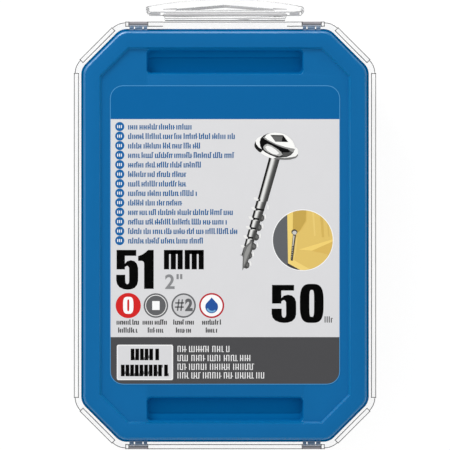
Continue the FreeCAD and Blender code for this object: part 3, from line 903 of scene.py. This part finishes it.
def small_signs():
    """Four round signs: a nought, a square recess, a number sign and a drop."""
    nought_at, square_at, number_at, drop_at = [(centre, SIGN_V) for centre, _, _ in SIGNS]
    v = SIGN_V
    printed("print_red_disc", [disc(nought_at, SIGN_RADIUS + 0.12)], 1, "red")
    printed("print_dark_rims", [disc(square_at, SIGN_RADIUS), disc(number_at, SIGN_RADIUS)], 1, "mid_grey")
    printed("print_gap_ring", [disc(square_at, SIGN_RADIUS * 0.875)], 2, "glow")
    printed("print_pale_disc", [disc(number_at, SIGN_RADIUS * 0.875)], 2, "pale_grey")
    printed("print_hub", [disc(square_at, SIGN_RADIUS * 0.81)], 3, "mid_grey")
    printed("print_red_ring", [disc(drop_at, SIGN_RADIUS + 0.1)], 1, "dark_red")
    square = bar(square_at[0] - 1.25, v - 1.5, square_at[0] + 1.25, v + 1.5)
    nought = fitted(zero(), nought_at[0] - 1.75, v - 2.95, nought_at[0] + 1.75, v + 2.8)
    printed("print_white_marks", [disc(drop_at, SIGN_RADIUS * 0.89), square] + nought, 4, "white")
    left, top = number_at[0] - 2.85, v - 2.1
    lattice = [bar(left, top + 1.0, left + 3.0, top + 1.45)]
    lattice.append(bar(left - 0.1, top + 2.4, left + 2.9, top + 2.85))
    for u in (left + 0.75, left + 1.9):
        lattice.append([(u + 0.3, top), (u + 0.75, top), (u + 0.25, top + 3.9), (u - 0.2, top + 3.9)])
    printed("print_lattice", lattice, 3, "mid_grey")
    u = drop_at[0]
    drop = [(u, v - 2.7)] + arc((u, v + 0.45), 2.15, -32, 212, 24)
    shine = arc((u, v + 0.6), 1.75, 40, 165, 14) + arc((u + 0.15, v + 0.35), 1.45, 160, 45, 14)
    printed("print_drop", [drop], 5, "drop")
    printed("print_drop_shine", [shine], 6, "drop_shine")


def lower_band(draw):
    """The pale box with heavy strokes, and the lines of white strokes beside it."""
    printed("print_box_glow", [rounded_bar(2.3, 87.45, 21.3, 99.4, 0.6)], 1, "glow")
    printed("print_box", [rounded_bar(2.75, 87.9, 20.85, 98.95, 0.4)], 2, "light_grey")
    heavy = stroke_line(draw, 7.0, 17.0, 92.7, 3.9, 1.25, 0.32, tall=1)
    heavy += stroke_line(draw, 3.7, 20.1, 98.1, 3.9, 1.25, 0.32, tall=1)
    printed("print_box_strokes", heavy, 3, "black")
    strokes = []
    for end, v in BAND_LINES:
        strokes += stroke_line(draw, 22.8, end, v + 1.05, 2.1, 0.27, 0.52, tall=1)
    printed("print_band_lines", strokes, 1, "white")


# The picture of a screw. Its head is in millimetres of the label. Its stem is in its own frame: t across the
# axis and s along it from the washer to the point. The second number of each tone and shape is its grey.

HEAD_AT = (56.4, 21.3)
LEAN = math.radians(15.4)
TURNS = 7
TURNS_START = 18.7
TURN_PITCH = 3.32
STRIPES = 14
STEM_TONES = ((-1.0, 14), (-0.68, 22), (-0.56, 196), (-0.3, 242), (0.0, 212), (0.2, 128), (0.45, 78),
              (0.8, 64), (1.0, 52))
WASHER = [(48.7, 20.0), (49.1, 18.7), (49.6, 17.9), (50.5, 17.3), (51.6, 17.0), (62.2, 20.6), (63.1, 21.2),
          (63.5, 21.9), (63.4, 23.1), (62.7, 24.3), (61.4, 24.8), (59.3, 25.0), (56.8, 25.0), (54.4, 24.6),
          (52.2, 23.7), (50.4, 22.5), (49.3, 21.5), (48.8, 20.8)]
DOME = [(50.5, 19.1), (50.8, 17.9), (51.6, 17.1), (52.8, 16.4), (54.1, 16.1), (55.6, 15.9), (57.6, 16.1),
        (58.9, 16.5), (60.3, 17.4), (61.6, 18.7), (62.3, 20.3), (62.4, 21.4), (61.9, 22.6), (60.9, 23.6),
        (59.5, 24.2), (57.7, 24.3), (55.9, 24.2), (54.1, 23.5), (52.4, 22.6), (51.3, 21.7), (50.7, 20.5)]
CAP = [(52.2, 17.5), (52.8, 16.6), (54.1, 16.1), (55.6, 15.9), (57.6, 16.1), (58.9, 16.5), (60.3, 17.4),
       (61.6, 18.7), (62.3, 20.3), (62.4, 21.4), (60.8, 21.1), (59.3, 20.8), (57.7, 20.3), (55.9, 19.7),
       (54.4, 18.9), (53.2, 18.3)]
BLACK_BAND = [(50.6, 19.1), (51.0, 18.2), (51.8, 18.0), (52.5, 18.3), (54.1, 19.2), (56.2, 20.2),
              (58.2, 21.0), (60.0, 21.5), (60.8, 22.1), (60.2, 22.6), (58.2, 22.6), (56.9, 21.8),
              (55.1, 20.7), (53.1, 19.7), (52.2, 19.9), (51.8, 20.8), (51.4, 21.5), (50.7, 20.3)]
GLINT = [(51.7, 20.8), (52.2, 20.1), (53.1, 19.7), (54.6, 20.3), (56.7, 21.6), (57.8, 22.6), (58.2, 23.4),
         (57.2, 23.9), (55.3, 23.5), (53.3, 22.6), (52.0, 21.7)]
HEAD_SHAPES = (
    (WASHER, 250),
    ([(48.7, 20.0), (49.1, 18.8), (49.3, 19.8), (50.2, 20.9), (51.6, 21.8), (50.9, 22.6), (50.4, 22.5),
      (49.3, 21.5), (48.8, 20.8)], 26),
    ([(56.2, 24.2), (58.9, 24.5), (61.4, 24.2), (62.7, 23.9), (63.4, 23.1), (63.4, 23.7), (62.6, 24.5),
      (60.8, 25.0), (59.3, 25.1), (56.8, 25.0), (55.1, 24.7)], 118),
    (DOME, 36),
    ([(58.2, 22.6), (60.2, 22.6), (60.8, 22.1), (61.8, 22.6), (60.9, 23.5), (59.5, 24.0), (58.1, 24.0)], 82),
    ([(51.6, 17.5), (52.2, 17.2), (53.2, 18.1), (54.4, 18.7), (55.9, 19.5), (57.7, 20.1), (59.3, 20.6),
      (60.8, 20.9), (62.4, 21.3), (61.9, 22.6), (60.9, 22.2), (59.5, 21.4), (56.9, 20.6), (54.1, 19.2),
      (52.3, 18.2)], 150),
    (CAP, 254),
    (BLACK_BAND, 8),
    (GLINT, 178),
    ([(52.3, 20.8), (53.1, 20.3), (54.4, 20.7), (55.9, 21.7), (57.1, 22.9), (56.2, 23.4), (54.6, 23.0),
      (53.1, 22.0)], 246),
    ([(54.1, 16.7), (58.4, 16.8), (60.1, 19.1), (55.8, 19.0)], 104),
    ([(54.1, 16.7), (58.4, 16.8), (58.2, 17.2), (54.5, 17.1)], 58),
    ([(58.4, 16.9), (60.1, 19.1), (57.9, 19.0), (58.1, 17.9)], 12),
)
LEAF_SHAPES = (
    ([(0.3, 33.5), (1.0, 34.5), (0.8, 38.0), (0.3, 41.0), (-0.2, 42.0)], 78),
    ([(0.2, 32.2), (-1.0, 33.6), (-2.05, 35.2), (-1.75, 37.0), (-1.3, 38.9), (-0.4, 42.8), (0.0, 41.0),
      (0.5, 38.2), (0.55, 34.7)], 112),
    ([(0.1, 32.9), (-0.9, 34.8), (-1.2, 37.2), (-0.8, 39.4), (-0.35, 41.2), (-0.1, 38.8), (0.25, 35.6)], 152),
    ([(-2.7, 37.9), (-1.5, 37.6), (-1.4, 38.0)], 120),
)


def on_axis(t, s):
    """A point of the pictured screw's own frame, on the label."""
    cos, sin = math.cos(LEAN), math.sin(LEAN)
    return HEAD_AT[0] + t * cos - s * sin, HEAD_AT[1] + t * sin + s * cos


def stem_stripes(s0, s1, span0, span1, layer):
    """A rounded stem in strips of grey, from one span across the axis to another."""
    stripes = []
    for i in range(STRIPES):
        a, b = i / STRIPES, (i + 1) / STRIPES
        corners = ((span0, s0, a), (span0, s0, b), (span1, s1, b), (span1, s1, a))
        points = [on_axis(low + (high - low) * share, s) for (low, high), s, share in corners]
        stripes.append((points, layer, grey(shade(STEM_TONES, a + b - 1))))
    return stripes


def thread_turn(turn):
    """One turn of the thread: its dark lower line, a pale crest on each side, a dark lobe on the right and a
    length of stem. The first turn has no lobe, and the last only its right crest and its lobe."""
    s = TURNS_START + TURN_PITCH * turn
    right = 1.3 - 0.16 * turn
    reach = 2.1 if turn < 5 else 1.5
    parts = []
    if turn < TURNS - 1:
        parts += [
            ([(-2.0, s + 1.7), (-1.3, s + 2.5), (right, s + 2.25), (right, s + 2.8), (-1.4, s + 3.15),
              (-2.1, s + 2.2)], 2, 26),
            ([(-3.3, s - 0.7), (-2.4, s - 1.0), (-1.75, s - 0.5), (-1.6, s), (-2.1, s + 0.15),
              (-2.9, s - 0.1)], 3, 238),
        ]
    if turn > 0:
        parts += [
            ([(right - 0.6, s + 0.4), (right, s + 0.7), (reach - 0.3, s + 1.2), (reach, s + 2.0),
              (reach - 0.15, s + 2.7), (reach - 0.7, s + 3.2), (right - 0.7, s + 3.1)], 3, 74),
            ([(right, s + 1.2), (reach - 0.5, s + 1.5), (reach - 0.2, s + 2.1), (reach - 0.4, s + 2.5),
              (right, s + 2.3)], 3.4, 108),
        ]
    parts.append(([(reach - 0.25, s + 0.2), (reach + 0.3, s + 0.8), (reach + 0.6, s + 1.9),
                   (reach + 0.1, s + 1.8), (reach - 0.1, s + 1.1)], 3, 244))
    shapes = [([on_axis(*p) for p in points], layer, grey(value)) for points, layer, value in parts]
    if turn < TURNS - 1:
        shapes += stem_stripes(s, s + 2.7, (-2.05, right), (-2.0, right - 0.1), 1)
    return shapes


def screw_picture():
    shapes = stem_stripes(2.5, TURNS_START - 0.6, (-1.8, 1.8), (-1.8, 1.6), 1)
    shapes += stem_stripes(TURNS_START - 1.2, 38.0, (-1.5, 1.4), (-1.4, 0.6), 0.6)
    for turn in range(TURNS):
        shapes += thread_turn(turn)
    for order, (points, value) in enumerate(LEAF_SHAPES):
        shapes.append(([on_axis(*p) for p in points], 4 + order * 0.3, grey(value)))
    for order, (points, value) in enumerate(HEAD_SHAPES):
        shapes.append((points, 5 + order * 0.6, grey(value)))
    return shapes


# The round picture of a screw in timber, in millimetres from its centre. Shapes that reach 11 are cut off by
# the round window.

WOOD_AT = (65.05, 52.2)
WOOD_RADIUS = 10.1
WOOD_SHAPES = (
    (bar(-11, -11, 11, 11), (100, 102, 105)),
    ([(-5.3, -11), (11, -11), (11, 11), (-0.5, 11), (-5.0, 7.8)], (228, 196, 108)),
    ([(-5.3, -11), (-3.2, -11), (-2.9, 7.0), (-5.0, 7.8)], (243, 214, 122)),
    ([(-3.3, -11), (1.4, -11), (1.2, -6.5), (-0.6, -3.6), (-1.6, -2.6), (-3.4, -3.4)], (201, 168, 82)),
    ([(1.2, -11), (1.5, -11), (1.3, -6.4), (-0.4, -3.4), (-0.8, -3.5), (1.0, -6.5)], (224, 190, 100)),
    ([(3.0, -11), (3.7, -11), (4.3, -1.6), (3.8, -1.2)], (236, 206, 120)),
    ([(5.6, -11), (6.6, -11), (7.2, -1.0), (6.4, -1.0)], (216, 182, 94)),
    ([(7.8, -9.5), (8.4, -9.0), (9.0, -1.2), (8.6, -1.2)], (218, 186, 100)),
    ([(-2.6, -1.0), (-1.8, -1.0), (-2.2, 4.0), (-3.0, 6.4)], (236, 206, 120)),
    ([(-1.5, 3.2), (11, -0.6), (11, 0.2), (3.0, 3.6)], (244, 212, 118)),
    ([(3.0, 3.6), (11, 0.0), (11, 5.5), (6.0, 4.2)], (222, 186, 96)),
    ([(-5.0, 7.8), (-3.2, 6.6), (4.5, 11), (-0.5, 11)], (244, 214, 124)),
    ([(-5.2, 8.0), (-5.0, 7.8), (-0.3, 10.4), (-1.0, 11), (-5.2, 11)], (64, 64, 64)),
    ([(-3.3, -2.0), (-2.3, -1.8), (-2.75, 1.6), (-3.4, 7.0), (-4.1, 6.8), (-3.65, 1.6)], (74, 70, 62)),
    ([(-3.2, -1.6), (-2.75, -1.5), (-3.2, 1.8), (-3.75, 6.4), (-3.9, 6.3), (-3.5, 1.8)], (206, 203, 194)),
)
WOOD_SCREW_HEAD = (((-2.85, -2.75), 1.0, (70, 66, 60)), ((-2.8, -2.5), 0.72, (205, 203, 198)))


def wood_turn(turn):
    """A dark mark of the thread of the screw in the timber."""
    left, right, v = -3.75 - 0.07 * turn, -3.1 - 0.08 * turn, 0.75 * turn
    return [(left, 2.2 + v), (right, 1.95 + v), (right, 2.3 + v), (left, 2.55 + v)], (58, 54, 48)


def in_wood(points):
    return [(WOOD_AT[0] + u, WOOD_AT[1] + v) for u, v in points]


def wood_picture():
    window = disc((0, 0), WOOD_RADIUS, steps=64)
    shapes = []
    for order, (points, colour) in enumerate(WOOD_SHAPES + tuple(map(wood_turn, range(6)))):
        inside = clipped(points if signed_area(points) > 0 else points[::-1], window)
        if len(inside) > 2:
            shapes.append((in_wood(inside), 2 + order * 0.3, colour))
    for order, (centre, radius, colour) in enumerate(WOOD_SCREW_HEAD):
        shapes.append((in_wood(disc(centre, radius, 0.9, 20)), 6 + order * 0.3, colour))
    return shapes


def pictures():
    """The pictured screw, and the round picture with its white edge."""
    paint = painted("print_pictures")
    screw = flat_mesh("print_screw_picture", screw_picture())
    add_piece("print_screw_picture", screw, [paint], "lid", "label_film")
    printed("print_wood_edge", [disc(WOOD_AT, WOOD_RADIUS + 0.28, steps=64)], 1, "white")
    wood = flat_mesh("print_wood_picture", wood_picture())
    add_piece("print_wood_picture", wood, [paint], "lid", "label_film")


def numbers():
    """The length in millimetres and in inches, the number of screws and the size of the recess."""
    size = fitted(five(), 2.0, 55.5, 9.6, 68.9) + fitted(one(), 9.5, 55.5, 14.75, 68.9)
    printed("print_size", size, 1, "black")
    count = fitted(five(), 54.4, 67.3, 62.9, 80.1) + fitted(zero(), 64.05, 66.95, 72.05, 80.1)
    printed("print_count", count, 1, "black")
    digit("print_inches", "2", 18.6, 63.75, 21.8, 68.65, "grey", 0.02)
    digit("print_drive", "2", 25.35, 71.9, 27.9, 76.15, "mid_grey", 0.05)


label_film()
# The thin pale blue frame round the label is a painted highlight along its edge.
printed("print_painted_edge_highlight", frame_line(0, 0, LABEL_WIDTH, LABEL_LENGTH, LABEL_CORNER, 0.24), 0.5, "hairline")
text_block(DRAW)
captions(DRAW)
small_signs()
lower_band(DRAW)
pictures()
numbers()


# Floor, light and camera

def stage_material():
    """A pale floor that the camera, glass and metal see as white, with the object's soft shadow on it."""
    mat = bpy.data.materials.new("floor")
    mat.use_nodes = True
    nodes, links = mat.node_tree.nodes, mat.node_tree.links
    nodes.clear()
    out = nodes.new("ShaderNodeOutputMaterial")
    lit = node_with(nodes, "ShaderNodeBsdfDiffuse", Color=(FLOOR_GREY, FLOOR_GREY, FLOOR_GREY, 1))
    white = node_with(nodes, "ShaderNodeEmission", Color=(1, 1, 1, 1), Strength=FLOOR_GLOW)
    share = nodes.new("ShaderNodeMath")
    share.operation = "MULTIPLY"
    share.inputs[1].default_value = FLOOR_GLOW_SHARE
    links.new(seen_ray(nodes, links), share.inputs[0])
    mix = nodes.new("ShaderNodeMixShader")
    links.new(share.outputs[0], mix.inputs["Fac"])
    links.new(lit.outputs[0], mix.inputs[1])
    links.new(white.outputs[0], mix.inputs[2])
    links.new(mix.outputs[0], out.inputs["Surface"])
    return mat


def seen_ray(nodes, links):
    """1 for camera, glossy and transmission rays, 0 for the rays that light the object."""
    path = nodes.new("ShaderNodeLightPath")
    total = path.outputs["Is Camera Ray"]
    for name in ("Is Glossy Ray", "Is Transmission Ray"):
        join = nodes.new("ShaderNodeMath")
        join.operation = "MAXIMUM"
        links.new(total, join.inputs[0])
        links.new(path.outputs[name], join.inputs[1])
        total = join.outputs[0]
    return total


def make_floor():
    mesh = bpy.data.meshes.new("floor")
    corners = [(x * FLOOR_HALF, y * FLOOR_HALF, 0) for x, y in ((-1, -1), (1, -1), (1, 1), (-1, 1))]
    mesh.from_pydata(corners, [], [(0, 1, 2, 3)])
    mesh.materials.append(stage_material())
    floor = bpy.data.objects.new("floor", mesh)
    floor.location.z = -FLOOR_DROP * MM
    bpy.context.scene.collection.objects.link(floor)


def make_world():
    """Plain white where it is seen. It lights softly. Its reflection is bright low down, dim overhead and
    brightest at the softbox round the lamp."""
    world = bpy.data.worlds.new("studio")
    bpy.context.scene.world = world
    world.use_nodes = True
    nodes, links = world.node_tree.nodes, world.node_tree.links
    nodes.clear()
    out = nodes.new("ShaderNodeOutputWorld")
    background = node_with(nodes, "ShaderNodeBackground", Color=(1, 1, 1, 1))
    path = nodes.new("ShaderNodeLightPath")
    place = nodes.new("ShaderNodeTexCoord")
    split = nodes.new("ShaderNodeSeparateXYZ")
    links.new(place.outputs["Generated"], split.inputs[0])
    height = node_with(nodes, "ShaderNodeMapRange", From_Min=0.0, From_Max=GLOSS_TOP,
                       To_Min=GLOSS_LOW, To_Max=GLOSS_HIGH)
    links.new(split.outputs["Z"], height.inputs["Value"])
    toward = nodes.new("ShaderNodeVectorMath")
    toward.operation = "DOT_PRODUCT"
    toward.inputs[1].default_value = Vector(KEY_FROM).normalized()
    links.new(place.outputs["Generated"], toward.inputs[0])
    softbox = node_with(nodes, "ShaderNodeMapRange", From_Min=SOFTBOX_EDGE[0], From_Max=SOFTBOX_EDGE[1],
                        To_Min=0.0, To_Max=SOFTBOX_GLOSS)
    softbox.interpolation_type = "SMOOTHSTEP"
    links.new(toward.outputs["Value"], softbox.inputs["Value"])
    gloss = nodes.new("ShaderNodeMath")
    gloss.operation = "ADD"
    links.new(height.outputs["Result"], gloss.inputs[0])
    links.new(softbox.outputs["Result"], gloss.inputs[1])

    def choose(by, low, high):
        mix = nodes.new("ShaderNodeMix")
        links.new(by, mix.inputs["Factor"])
        for value, socket in ((low, mix.inputs["A"]), (high, mix.inputs["B"])):
            if isinstance(value, float):
                socket.default_value = value
            else:
                links.new(value, socket)
        return mix.outputs["Result"]

    strength = choose(path.outputs["Is Glossy Ray"], WORLD_LIGHT, gloss.outputs["Value"])
    strength = choose(path.outputs["Is Transmission Ray"], strength, 1.0)
    strength = choose(path.outputs["Is Camera Ray"], strength, 1.0)
    links.new(strength, background.inputs["Strength"])
    links.new(background.outputs[0], out.inputs["Surface"])


def make_lamp():
    light = bpy.data.lights.new("key", "AREA")
    light.energy = KEY_POWER
    light.size = KEY_SIZE
    lamp = bpy.data.objects.new("key", light)
    lamp.location = KEY_FROM
    lamp.rotation_euler = (Vector(KEY_TARGET) - Vector(KEY_FROM)).to_track_quat("-Z", "Y").to_euler()
    bpy.context.scene.collection.objects.link(lamp)


def make_camera():
    """A camera straight above, so far away that it sees the box with hardly any perspective."""
    data = bpy.data.cameras.new("camera")
    data.lens = CAMERA_LENS
    data.sensor_width = 36
    data.clip_start = 0.1
    data.clip_end = 100
    camera = bpy.data.objects.new("camera", data)
    above = VIEW_WIDTH * MM / 2 / (data.sensor_width / 2 / data.lens)
    camera.location = (0, VIEW_MIDDLE_Y * MM, CAD_BOX[1].z + above)
    bpy.context.scene.collection.objects.link(camera)
    bpy.context.scene.camera = camera


make_floor()
make_world()
make_lamp()
make_camera()
bpy.context.scene.view_settings.view_transform = "Standard"
